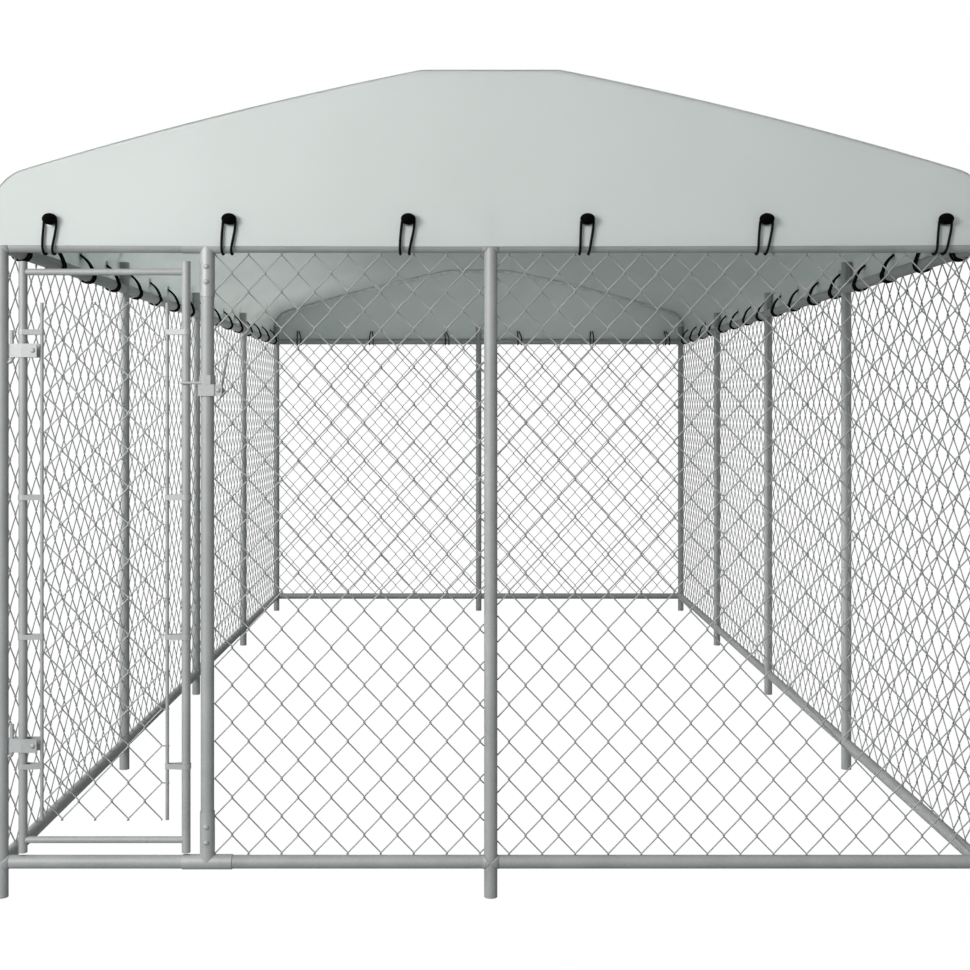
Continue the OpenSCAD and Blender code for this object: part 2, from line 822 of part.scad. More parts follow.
module at_bungees() {
  at_front_bungees() children();
  at_back_bungees() children();
  at_side_bungees() children();
}

module eyelet_hole() {
  translate([0, -sheet_out - past, eyelet_z]) rotate([-90, 0, 0])
    cylinder(r = eyelet_r + eyelet_t + slide_gap, h = sheet_t + 2 * past);
}

module canopy_roof() {
  color(tarp)
    difference() {
      union() {
        half_roof();
        mirror([1, 0, 0]) half_roof();
        ridge_panel();
      }
      at_side_bungees() eyelet_hole();
    }
}

// Upright end panel, inside the roof sheet's edge
module gable(y) {
  inset = sheet_t + weld_gap;
  mid = eave_mid(0, eave_turn, eave_r);
  right = concat(
    roof_arc(ridge_mid(), ridge_r - inset, 0, ridge_pitch),
    roof_arc(slope_mid(), slope_r - inset, ridge_pitch, eave_turn),
    roof_arc(mid, eave_r - inset, eave_turn, 90),
    [[side_x - inset, hem_z]]
  );
  translate([0, y + sheet_t / 2, 0]) rotate([90, 0, 0]) linear_extrude(height = sheet_t)
    polygon(concat(mirrored(right), right));
}

module canopy_front() {
  color(tarp) difference() {
    gable(-end_y + sheet_t / 2);
    at_front_bungees() eyelet_hole();
  }
}

module canopy_back() {
  color(tarp) difference() {
    gable(end_y - sheet_t / 2);
    at_back_bungees() eyelet_hole();
  }
}

// Bungees

// Eyelet rolled over both faces of the sheet
module eyelet() {
  rim = eyelet_r + eyelet_flange;
  barrel = sheet_t + 2 * eyelet_t;
  translate([0, -sheet_out - eyelet_t, eyelet_z]) rotate([-90, 0, 0])
    rotate_extrude() {
      translate([eyelet_r, 0]) square([eyelet_t, barrel]);
      translate([eyelet_r, 0]) square([rim - eyelet_r, eyelet_t]);
      translate([eyelet_r, barrel - eyelet_t]) square([rim - eyelet_r, eyelet_t]);
    }
}

// Centre line of one strand, as [out of the rail's axis, above it]: from the ball down the outside,
// round under the rail and back up through the eyelet into the ball
function strand_path() = concat(
  [[-strand_y, eyelet_over - strand_end]],
  [for (i = [0:strand_steps]) strand_y * tilt(-90 - (180 + strand_leave) * i / strand_steps)],
  [strand_y * tilt(90 - strand_leave) + strand_run * tilt(-strand_leave)]
);

module strand() {
  translate([0, 0, top_rail_z]) rotate([0, 0, 90]) bent_rod(strand_path(), cord_r, cord_sides);
}

module bungee_cords() {
  color(black) at_bungees() for (x = [-strand_half, strand_half]) translate([x, 0, 0]) strand();
}

// Ball moulded over the ends of the strands, flat at its back and underneath
module ball() {
  translate([0, -ball_y, eyelet_z])
    difference() {
      sphere(d = ball_d);
      translate([-ball_d, ball_back, -ball_d]) cube(2 * ball_d);
      translate([-ball_d, -ball_d, -ball_under - 2 * ball_d]) cube(2 * ball_d);
    }
}

hinge_corner_post();  // post_front_left
post_at(0, -half_l);  // post_front_middle
post_at(half_w, -half_l);  // post_front_right
post_at(-half_w, post_y[1]);  // post_left_1
post_at(-half_w, post_y[2]);  // post_left_2
post_at(-half_w, post_y[3]);  // post_left_3
post_at(half_w, post_y[1]);  // post_right_1
post_at(half_w, post_y[2]);  // post_right_2
post_at(half_w, post_y[3]);  // post_right_3
post_at(-half_w, half_l);  // post_back_left
post_at(0, half_l);  // post_back_middle
post_at(half_w, half_l);  // post_back_right
door_post();
rail_row([-half_w, -half_l], 0, bay_count_across, top_rail_z);  // front_top_rails
rail_row([-half_w, -half_l], 0, bay_count_across, low_rail_z);  // front_bottom_rails
rail_row([-half_w, half_l], 0, bay_count_across, top_rail_z);  // back_top_rails
rail_row([-half_w, half_l], 0, bay_count_across, low_rail_z);  // back_bottom_rails
rail_row([-half_w, -half_l], 90, bay_count_deep, top_rail_z);  // left_top_rails
rail_row([-half_w, -half_l], 90, bay_count_deep, low_rail_z);  // left_bottom_rails
rail_row([half_w, -half_l], 90, bay_count_deep, top_rail_z);  // right_top_rails
rail_row([half_w, -half_l], 90, bay_count_deep, low_rail_z);  // right_bottom_rails
tee(top_rail_z, false);  // tee_top
tee(low_rail_z, true);  // tee_bottom
tee_bolts();
tee_nuts();
front_chain_link();
panel_row([-half_w, half_l], 0, [left_bay_shift, right_bay_shift]);  // back_chain_link
side_panels(-half_w);  // left_chain_link
side_panels(half_w);  // right_chain_link
stile(hinge_stile_x);  // door_hinge_stile
stile(latch_stile_x);  // door_latch_stile
door_rail(door_rail_z[1]);  // door_top_rail
door_rail(door_rail_z[0]);  // door_bottom_rail
door_tension_bars();
door_tension_bands();
door_chain_link();
hinge_straps();
hinge_strap_bolts();
hinge_strap_nuts();
hinge_pins();
hinge_pin_nuts();
latch_clamp();
latch_bolt();
latch_nut();
gate_stop();
latch_arm();
bow_sockets();
post_caps();
roof_bow(-half_l);  // roof_bow_front
roof_bow(half_l);  // roof_bow_back
canopy_roof();
canopy_front();
canopy_back();
color(dark_zinc) at_bungees() eyelet();  // eyelets
bungee_cords();
color(black) at_bungees() ball();  // bungee_balls
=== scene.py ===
"""Outdoor dog kennel run: woven chain-link, tarpaulin canopy, ball bungees and galvanised finishes."""

import json
import math

import bpy
import numpy as np
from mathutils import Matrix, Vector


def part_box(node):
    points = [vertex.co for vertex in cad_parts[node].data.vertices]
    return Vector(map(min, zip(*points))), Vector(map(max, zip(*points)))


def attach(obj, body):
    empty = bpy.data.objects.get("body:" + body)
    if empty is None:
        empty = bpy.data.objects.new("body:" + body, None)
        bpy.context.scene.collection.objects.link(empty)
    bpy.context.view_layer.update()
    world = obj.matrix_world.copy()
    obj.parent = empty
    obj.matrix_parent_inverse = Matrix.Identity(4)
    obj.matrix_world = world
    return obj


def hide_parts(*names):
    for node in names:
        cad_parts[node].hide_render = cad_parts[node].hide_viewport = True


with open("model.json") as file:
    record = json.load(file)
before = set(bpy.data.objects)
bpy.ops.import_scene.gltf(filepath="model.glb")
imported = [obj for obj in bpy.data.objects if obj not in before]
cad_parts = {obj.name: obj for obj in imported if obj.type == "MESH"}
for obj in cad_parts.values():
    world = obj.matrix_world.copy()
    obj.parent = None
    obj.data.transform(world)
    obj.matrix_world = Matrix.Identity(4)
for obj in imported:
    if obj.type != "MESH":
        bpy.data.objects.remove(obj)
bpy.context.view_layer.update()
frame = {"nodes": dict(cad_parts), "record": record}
NODES = frame["nodes"]

bl_info = {
    "name": "Dog kennel run",
    "version": (1, 0, 0),
    "blender": (4, 5, 0),
    "location": "View3D > Sidebar > Kennel",
    "description": "Dresses the kennel run's frame with chain-link, canopy, bungees and finishes",
    "category": "Object",
}

# Sizes read off the frame, in metres. The front's two bays are as wide as the sides' four are long.


def middle(node):
    """Middle of a frame node's box."""
    low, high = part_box(node)
    return (low + high) / 2


def breadth(node, axis):
    """Length of a frame node's box along one axis."""
    low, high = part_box(node)
    return high[axis] - low[axis]


TUBE_R = breadth("post_front_middle", 0) / 2
HALF_W = middle("post_front_right").x
HALF_L = middle("post_back_middle").y
BAY = HALF_W
BAYS = 4
TOP_Z = middle("front_top_rails").z
LOW_Z = middle("front_bottom_rails").z
TEE_R = breadth("tee_top", 1) / 2
DOOR_POST_X = middle("door_post").x
SIDE_X = breadth("canopy_roof", 0) / 2
END_Y = breadth("canopy_roof", 1) / 2
HEM_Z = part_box("canopy_roof")[0].z
RIDGE_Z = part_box("canopy_roof")[1].z
EYELET_Z = middle("eyelets").z

# Clearances and counts of the dressing. Eyelets' faces are measured from the nearest rail's axis.

WIRE_INSET = 0.0019
WIRE_GAP = 0.0001
SHORTEST_CUT = 0.003
ROOF_INSET = 0.0004
END_INSET = 0.0022
PIPING_INSET = 0.0013
PIPING_R = 0.0012
HEM_GAP = 0.0005
BELLY = 0.0006
EAVE_FADE = 0.12
FOLD_FOOT = 0.11
FOLD_TALL = 0.2
CORD_GAP = 0.0004
CORD_CLEAR_WIRES = 2.2
CORD_IN_BALL = 0.003
EYELET_FACE = SIDE_X - HALF_W + 0.0013
EYELET_BACK = SIDE_X - HALF_W - 0.001
BALL_BACK = 0.010
BALL_OVAL = (1.04, 1, 0.8)
BALL_RISE = 0.0015
BALL_EDGE = 14.0
FRONT_BUNGEES = 6
BAY_BUNGEES = 4


# Shared shapes


def eased(u):
    """Smooth step from 0 to 1: u squared times (3 - 2u)."""
    return u * u * (3 - 2 * u)


def unit(v):
    """Vectors of an array scaled to length one along the last axis."""
    return v / np.linalg.norm(v, axis=-1, keepdims=True)


def headings(paths):
    """Directions along paths: the mean of the unit runs on either side of each point."""
    runs = unit(np.diff(paths, axis=-2))
    first, last = runs[..., :1, :], runs[..., -1:, :]
    return unit(np.concatenate([first, runs], -2) + np.concatenate([runs, last], -2))


def ring_quads(rows, columns, closed):
    """Quads between the rings of a grid whose columns run round; closed joins the last row to the first."""
    i = np.arange(rows if closed else rows - 1)[:, None]
    k = np.arange(columns)[None, :]
    j = (i + 1) % rows
    m = (k + 1) % columns
    quads = np.stack([i * columns + k, j * columns + k, j * columns + m, i * columns + m], -1)
    return quads.reshape(-1, 4)


def repeated(faces, count, size):
    """Faces of one shape for a number of copies, each with its own run of so many vertices."""
    base = np.arange(count)[:, None, None] * size
    return (faces[None] + base).reshape(-1, faces.shape[1])


def swept_tubes(paths, radius, sides, flat, closed=False):
    """Round tubes along an array of paths (count, points, 3).

    Each ring is p + radius * (cos a * b + sin a * n), where n is the given flat direction made square
    to the path's heading t and b is t x n. Returns vertices, faces and a UV of (turn there and back from 0
    to 1, metres along).
    """
    paths = np.asarray(paths, float)
    count, points, _ = paths.shape
    if closed:
        around = np.concatenate([paths[:, -1:], paths, paths[:, :1]], 1)
        t = headings(around)[:, 1:-1]
    else:
        t = headings(paths)
    n = np.broadcast_to(np.asarray(flat, float), t.shape)
    n = unit(n - (n * t).sum(-1, keepdims=True) * t)
    b = np.cross(t, n)
    a = np.linspace(0, 2 * math.pi, sides, endpoint=False)
    ring = np.cos(a)[:, None] * b[:, :, None, :] + np.sin(a)[:, None] * n[:, :, None, :]
    verts = paths[:, :, None, :] + radius * ring
    faces = [repeated(ring_quads(points, sides, closed), count, points * sides)]
    if not closed:
        first = np.arange(sides)
        last = (points - 1) * sides + first[::-1]
        faces.append(repeated(np.stack([first, last]), count, points * sides))
    steps = np.linalg.norm(np.diff(paths, axis=1), axis=-1)
    along = np.concatenate([np.zeros((count, 1)), np.cumsum(steps, 1)], 1)
    shape = (count, points, sides)
    turn = np.broadcast_to(np.abs(1 - a / math.pi), shape)
    uv = np.stack([turn, np.broadcast_to(along[:, :, None], shape)], -1)
    return verts.reshape(-1, 3), faces, uv.reshape(-1, 2)


def joined(parts):
    """Several (vertices, faces) shapes as one: all vertices, and faces that count on from shape to shape."""
    verts, faces, base = [], [], 0
    for v, f in parts:
        verts.append(v)
        faces += [corners + base for corners in f]
        base += len(v)
    return np.concatenate(verts), faces


def grid_surface(points):
    """Quads between neighbours of an (rows, columns, 3) array of points."""
    rows, columns, _ = points.shape
    i = np.arange(rows - 1)[:, None]
    k = np.arange(columns - 1)[None, :]
    quads = np.stack(
        [i * columns + k, i * columns + k + 1, (i + 1) * columns + k + 1, (i + 1) * columns + k], -1
    )
    return points.reshape(-1, 3), [quads.reshape(-1, 4)]


def new_piece(name, verts, faces, material, uv=None, smooth=True):
    """Mesh object at the origin made from whole arrays of vertices and of faces."""
    sizes = np.concatenate([np.full(len(f), f.shape[1]) for f in faces])
    corners = np.concatenate([f.ravel() for f in faces]).astype(np.int32)
    starts = np.concatenate([[0], np.cumsum(sizes)[:-1]]).astype(np.int32)
    mesh = bpy.data.meshes.new(name)
    mesh.vertices.add(len(verts))
    mesh.vertices.foreach_set("co", np.ascontiguousarray(verts, np.float32).ravel())
    mesh.loops.add(len(corners))
    mesh.loops.foreach_set("vertex_index", corners)
    mesh.polygons.add(len(sizes))
    mesh.polygons.foreach_set("loop_start", starts)
    mesh.polygons.foreach_set("use_smooth", np.full(len(sizes), smooth))
    mesh.update(calc_edges=True)
    if uv is not None:
        layer = mesh.uv_layers.new(name="cloth")
        layer.data.foreach_set("uv", np.ascontiguousarray(uv[corners], np.float32).ravel())
    mesh.validate()
    piece = bpy.data.objects.new(name, mesh)
    bpy.context.scene.collection.objects.link(piece)
    mesh.materials.append(material)
    return piece


def placed(points, turn, at):
    """Points turned by a right angle count about the upright axis and moved to a place."""
    c, s = [(1, 0), (0, 1), (-1, 0), (0, -1)][turn % 4]
    spin = np.array([[c, -s, 0], [s, c, 0], [0, 0, 1]], float)
    return points @ spin.T + np.asarray(at, float)


# Finishes


class Finish:
    """A node material under construction, with one Principled shader."""

    def __init__(self, name):
        self.material = bpy.data.materials.new(name)
        self.material.use_nodes = True
        self.tree = self.material.node_tree
        self.shader = self.tree.nodes["Principled BSDF"]

    def feed(self, node, inputs):
        """A node's named inputs set to constants, or linked when given a socket."""
        for key, value in inputs.items():
            socket = node.inputs[key.replace("_", " ")]
            if isinstance(value, bpy.types.NodeSocket):
                self.tree.links.new(value, socket)
            else:
                socket.default_value = value

    def node(self, kind, **inputs):
        """New node of a kind, with its inputs."""
        made = self.tree.nodes.new(kind)
        self.feed(made, inputs)
        return made

    def set(self, **inputs):
        """The shader's inputs."""
        self.feed(self.shader, inputs)

    def maths(self, operation, a, b):
        """One value worked out from two sockets."""
        made = self.tree.nodes.new("ShaderNodeMath")
        made.operation = operation
        self.tree.links.new(a, made.inputs[0])
        self.tree.links.new(b, made.inputs[1])
        return made.outputs[0]

    def wave(self, vector, scale, direction):
        """Bands across one direction."""
        made = self.node("ShaderNodeTexWave", Vector=vector, Scale=scale)
        made.bands_direction = direction
        return made.outputs["Fac"]

    def place(self, kind="Object"):
        """Coordinates of the surface."""
        return self.tree.nodes.new("ShaderNodeTexCoord").outputs[kind]

    def ramp(self, fac, stops):
        """Colour ramp over a factor, stops as (position, colour)."""
        made = self.node("ShaderNodeValToRGB", Fac=fac)
        for k, (at, colour) in enumerate(stops):
            spot = made.color_ramp.elements[k] if k < 2 else made.color_ramp.elements.new(at)
            spot.position = at
            spot.color = (*colour, 1)
        return made.outputs["Color"]

    def remap(self, value, low, high):
        """A 0 to 1 value stretched between two others."""
        made = self.node("ShaderNodeMapRange", Value=value, To_Min=low, To_Max=high)
        return made.outputs["Result"]

    def bump(self, height, strength, distance):
        """Surface normal bent by a height."""
        made = self.node("ShaderNodeBump", Height=height, Strength=strength, Distance=distance)
        self.set(Normal=made.outputs["Normal"])


def shade(colour, k):
    """A colour made lighter or darker."""
    return tuple(min(1.0, c * k) for c in colour[:3])


def galvanised(name, colour, metallic, rough):
    """Hot-dip zinc: cloudy grey with a faint crystal spangle, duller in patches, a slightly uneven skin."""
    f = Finish(name)
    cloud = f.node("ShaderNodeTexNoise", Vector=f.place(), Scale=9.0, Detail=5.0, Roughness=0.6)
    spangle = f.node("ShaderNodeTexVoronoi", Vector=f.place(), Scale=140.0)
    tone = f.maths("ADD", f.remap(spangle.outputs["Distance"], 0.0, 0.25), cloud.outputs["Fac"])
    f.set(
        Base_Color=f.ramp(tone, [(0.3, shade(colour, 0.86)), (0.85, shade(colour, 1.08))]),
        Roughness=f.remap(cloud.outputs["Fac"], rough - 0.08, rough + 0.1),
        Metallic=metallic,
    )
    f.bump(cloud.outputs["Fac"], 0.08, 0.002)
    return f.material


def tarpaulin(colour):
    """Coated woven sheet that glows when lit from behind: crossed threads, faint clouding, little sheen."""
    f = Finish("tarpaulin")
    uv = f.place("UV")
    threads = f.maths("MULTIPLY", *(f.wave(uv, 160.0, axis) for axis in ("X", "Y")))
    cloud = f.node("ShaderNodeTexNoise", Vector=f.place(), Scale=1.6, Detail=3.0).outputs["Fac"]
    f.set(
        Base_Color=f.ramp(cloud, [(0.3, shade(colour, 0.97)), (0.7, shade(colour, 1.02))]),
        Roughness=f.remap(threads, 0.68, 0.78),
        Sheen_Weight=0.05,
        Sheen_Roughness=0.5,
        Specular_IOR_Level=0.12,
        Subsurface_Weight=1.0,
        Subsurface_Radius=(0.98, 1.0, 0.99),
        Subsurface_Scale=0.0038,
    )
    f.bump(threads, 0.25, 0.0004)
    return f.material


def braided(colour):
    """Elastic cord's woven jacket: two spiral thread families around and along the cord."""
    f = Finish("elastic_cord")
    uv = f.place("UV")
    spiral = []
    for hand in (1.0, -1.0):
        turned = f.node("ShaderNodeMapping", Vector=uv, Rotation=(0, 0, hand * 0.01), Scale=(hand, 60.0, 1))
        spiral.append(f.wave(turned.outputs["Vector"], 1.2, "DIAGONAL"))
    lay = f.maths("MAXIMUM", *spiral)
    f.set(
        Base_Color=f.ramp(lay, [(0.2, shade(colour, 0.6)), (0.9, shade(colour, 1.3))]),
        Roughness=f.remap(lay, 0.85, 0.7),
        Specular_IOR_Level=0.15,
    )
    f.bump(lay, 0.5, 0.0006)
    return f.material


def moulded(name, colour, rough, gloss=0.5):
    """Moulded plastic or a paint coat: even colour with a fine grain and a few duller patches."""
    f = Finish(name)
    grain = f.node("ShaderNodeTexNoise", Vector=f.place(), Scale=900.0, Detail=2.0)
    patch = f.node("ShaderNodeTexNoise", Vector=f.place(), Scale=25.0, Detail=3.0).outputs["Fac"]
    f.set(
        Base_Color=f.ramp(patch, [(0.3, shade(colour, 0.85)), (0.75, shade(colour, 1.2))]),
        Roughness=f.remap(patch, rough - 0.06, rough + 0.08),
        Specular_IOR_Level=gloss,
    )
    f.bump(grain.outputs["Fac"], 0.1, 0.0003)
    return f.material


# Settings


class KennelMesh(bpy.types.PropertyGroup):
    """Chain-link sizes."""

    wire: bpy.props.FloatProperty(
        name="Wire", description="Diameter of the wire", default=0.0042, unit="LENGTH"
    )
    width: bpy.props.FloatProperty(
        name="Width", description="Width of an opening", default=0.0946, unit="LENGTH"
    )
    height: bpy.props.FloatProperty(
        name="Height", description="Height of an opening", default=0.1055, unit="LENGTH"
    )
    left_shift: bpy.props.FloatProperty(
        name="Left shift", description="Shift of the back left panel's openings", default=0.0, unit="LENGTH"
    )
    right_shift: bpy.props.FloatProperty(
        name="Right shift", description="Shift of the right panels' openings", default=0.0313, unit="LENGTH"
    )
    door_shift: bpy.props.FloatProperty(
        name="Door shift", description="Shift of the door panel's openings", default=0.051, unit="LENGTH"
    )
    tie: bpy.props.FloatProperty(
        name="Tie", description="Diameter of the door panel's wire ties", default=0.002, unit="LENGTH"
    )
    sides: bpy.props.IntProperty(name="Sides", description="Sides of a wire's section", default=5, min=4)


class KennelCanopy(bpy.types.PropertyGroup):
    """Canopy sizes and colour."""

    thickness: bpy.props.FloatProperty(
        name="Thickness", description="Thickness of the sheet", default=0.0014, unit="LENGTH"
    )
    eave: bpy.props.FloatProperty(
        name="Eave", description="Radius of the eaves", default=0.13, unit="LENGTH"
    )
    eave_rise: bpy.props.FloatProperty(
        name="Eave rise", description="Height of the eaves above the top rails", default=0.095, unit="LENGTH"
    )
    slope: bpy.props.FloatProperty(
        name="Slope", description="Radius of the slopes", default=12.0, unit="LENGTH"
    )
    pitch: bpy.props.FloatProperty(
        name="Pitch", description="Pitch beside the ridge", default=math.radians(11.3), unit="ROTATION"
    )
    ridge: bpy.props.FloatProperty(
        name="Ridge bend", description="Radius beside the flat ridge", default=0.15, unit="LENGTH"
    )
    flat: bpy.props.FloatProperty(
        name="Ridge flat", description="Half width of the flat ridge", default=0.182, unit="LENGTH"
    )
    hem_sag: bpy.props.FloatProperty(
        name="Hem sag", description="Sag of the ends' hems at their middle", default=0.004, unit="LENGTH"
    )
    fold: bpy.props.FloatProperty(
        name="Fold",
        description="Depth of the folds that the bungees pull into the eaves",
        default=0.014,
        unit="LENGTH",
    )
    sag: bpy.props.FloatProperty(
        name="Sag", description="Sag of the roof between its two ends", default=0.006, unit="LENGTH"
    )
    wave: bpy.props.FloatProperty(
        name="Wave", description="Depth of the roof's slack waves", default=0.004, unit="LENGTH"
    )
    colour: bpy.props.FloatVectorProperty(
        name="Colour", description="Colour of the sheet", default=(0.69, 0.735, 0.703), subtype="COLOR"
    )


class KennelBungees(bpy.types.PropertyGroup):
    """Bungee sizes and colours."""

    cord: bpy.props.FloatProperty(
        name="Cord", description="Diameter of the cord", default=0.0074, unit="LENGTH"
    )
    ball: bpy.props.FloatProperty(
        name="Ball", description="Diameter of the ball", default=0.041, unit="LENGTH"
    )
    at_ball: bpy.props.FloatProperty(
        name="At the ball", description="Half the strands' distance at the ball", default=0.0176, unit="LENGTH"
    )
    at_rail: bpy.props.FloatProperty(
        name="At the rail", description="Half the strands' distance at the rail", default=0.0127, unit="LENGTH"
    )
    at_eyelet: bpy.props.FloatProperty(
        name="At the eyelet",
        description="Half the strands' distance in the eyelet",
        default=0.0055,
        unit="LENGTH",
    )
    drift: bpy.props.FloatProperty(
        name="Drift", description="How far the loop hangs to one side at the rail", default=0.010, unit="LENGTH"
    )
    bulge: bpy.props.FloatProperty(
        name="Bulge",
        description="How far the cord stands out inside, between rail and eyelet",
        default=0.007,
        unit="LENGTH",
    )
    front_pitch: bpy.props.FloatProperty(
        name="Front pitch", description="Distance between front bungees", default=0.509, unit="LENGTH"
    )
    front_shift: bpy.props.FloatProperty(
        name="Front shift", description="Offset of the front row", default=0.02, unit="LENGTH"
    )
    colour: bpy.props.FloatVectorProperty(
        name="Colour", description="Colour of cord and ball", default=(0.002, 0.002, 0.0022), subtype="COLOR"
    )


class KennelFinishes(bpy.types.PropertyGroup):
    """Colours of the metal and of the coats, and the welds' size."""

    tube: bpy.props.FloatVectorProperty(
        name="Tube", description="Colour of the frame tubes", default=(0.408, 0.418, 0.413), subtype="COLOR"
    )
    wire: bpy.props.FloatVectorProperty(
        name="Wire", description="Colour of the chain-link", default=(0.4, 0.41, 0.406), subtype="COLOR"
    )
    hardware: bpy.props.FloatVectorProperty(
        name="Hardware",
        description="Colour of hinges, latch and bolts",
        default=(0.46, 0.47, 0.465),
        subtype="COLOR",
    )
    plug: bpy.props.FloatVectorProperty(
        name="Plug", description="Colour of the post plugs", default=(0.3, 0.31, 0.31), subtype="COLOR"
    )
    bow: bpy.props.FloatVectorProperty(
        name="Bow",
        description="Colour of the roof bows' pale coat",
        default=(0.74, 0.77, 0.75),
        subtype="COLOR",
    )
    weld: bpy.props.FloatProperty(
        name="Weld", description="Size of the welds", default=0.0016, unit="LENGTH"
    )


class KennelStage(bpy.types.PropertyGroup):
    """Camera and light."""

    lens: bpy.props.FloatProperty(name="Lens", description="Focal length in millimetres", default=51.13)
    eye: bpy.props.FloatVectorProperty(
        name="Eye", description="Place of the camera", default=(-0.0588, -6.744, 1.396), subtype="TRANSLATION"
    )
    shift: bpy.props.FloatVectorProperty(
        name="Shift", description="Camera shift", default=(0.01526, -0.0784), size=2
    )
    key: bpy.props.FloatProperty(name="Key", description="Power of the key light in watts", default=228.0)
    fill: bpy.props.FloatProperty(name="Fill", description="Strength of the surrounding light", default=0.505)


# Chain-link


def woven_panel(width, height, open_w, open_h, wire, shift, cut=True):
    """Centre lines of one panel's wires, each a flattened helix that zigzags upwards.

    Wire j swings between node columns shift + j * open_w / 2 and the next one, reaching each node half an
    opening higher than the last. It runs in front on the way up to the right and behind on the way up to
    the left, and overshoots each column by half a wire so that it hooks round its neighbour. Where cut is
    set, a wire that crosses the panel's edge is left as the V-shaped bends on the inner side of that edge.
    """
    up = max(1, round(height / open_h))
    half_h = height / up / 2
    half_w = open_w / 2
    first = math.ceil(-shift / half_w - 1e-6)
    last = math.floor((width - shift) / half_w + 1e-6)
    j = np.arange(first, last)[:, None]
    k = np.arange(2 * up + 1)[None, :]
    right = (j + k) % 2 != 0
    column = shift + (j + right) * half_w
    outward = np.where(right, 1.0, -1.0)
    reach = wire / 2
    lean = reach * half_h / half_w
    layer = wire / 2 + WIRE_GAP
    z = np.broadcast_to(k * half_h, column.shape)
    side = np.where(right, layer, -layer)
    hook = np.stack([column + outward * reach, np.zeros_like(z), z], -1)
    leave = np.stack([column, side, z + lean], -1)
    arrive = np.stack([column, -side, z - lean], -1)
    wires = np.stack([arrive, hook, leave], 2).reshape(len(j), -1, 3)[:, 1:-1]
    wires[:, 0, 2] -= WIRE_INSET
    wires[:, -1, 2] += WIRE_INSET
    paths = [wires]
    for index, edge, hand in ((first, -WIRE_INSET, 1), (last, width + WIRE_INSET, -1)):
        at = shift + index * half_w
        if not cut or abs(edge - at) < SHORTEST_CUT:
            continue
        rise = half_h * abs(edge - at) / half_w
        bend = np.array(
            [
                [edge, -hand * layer, -rise],
                [at, -hand * layer, -lean],
                [at + hand * reach, 0.0, 0.0],
                [at, hand * layer, lean],
                [edge, hand * layer, rise],
            ]
        )
        nodes = np.arange(index % 2, 2 * up + 1, 2)
        inner = nodes[(nodes > 0) & (nodes < 2 * up)]
        paths.append(bend[None] + inner[:, None, None] * [0, 0, half_h])
        if 0 in nodes:
            paths.append(bend[None, 2:])
            paths.append(bend[None, :3] + [0, 0, height])
    return paths


def fitted(width, open_w):
    """Opening width that fits a panel a whole number of times."""
    return width / round(width / open_w)


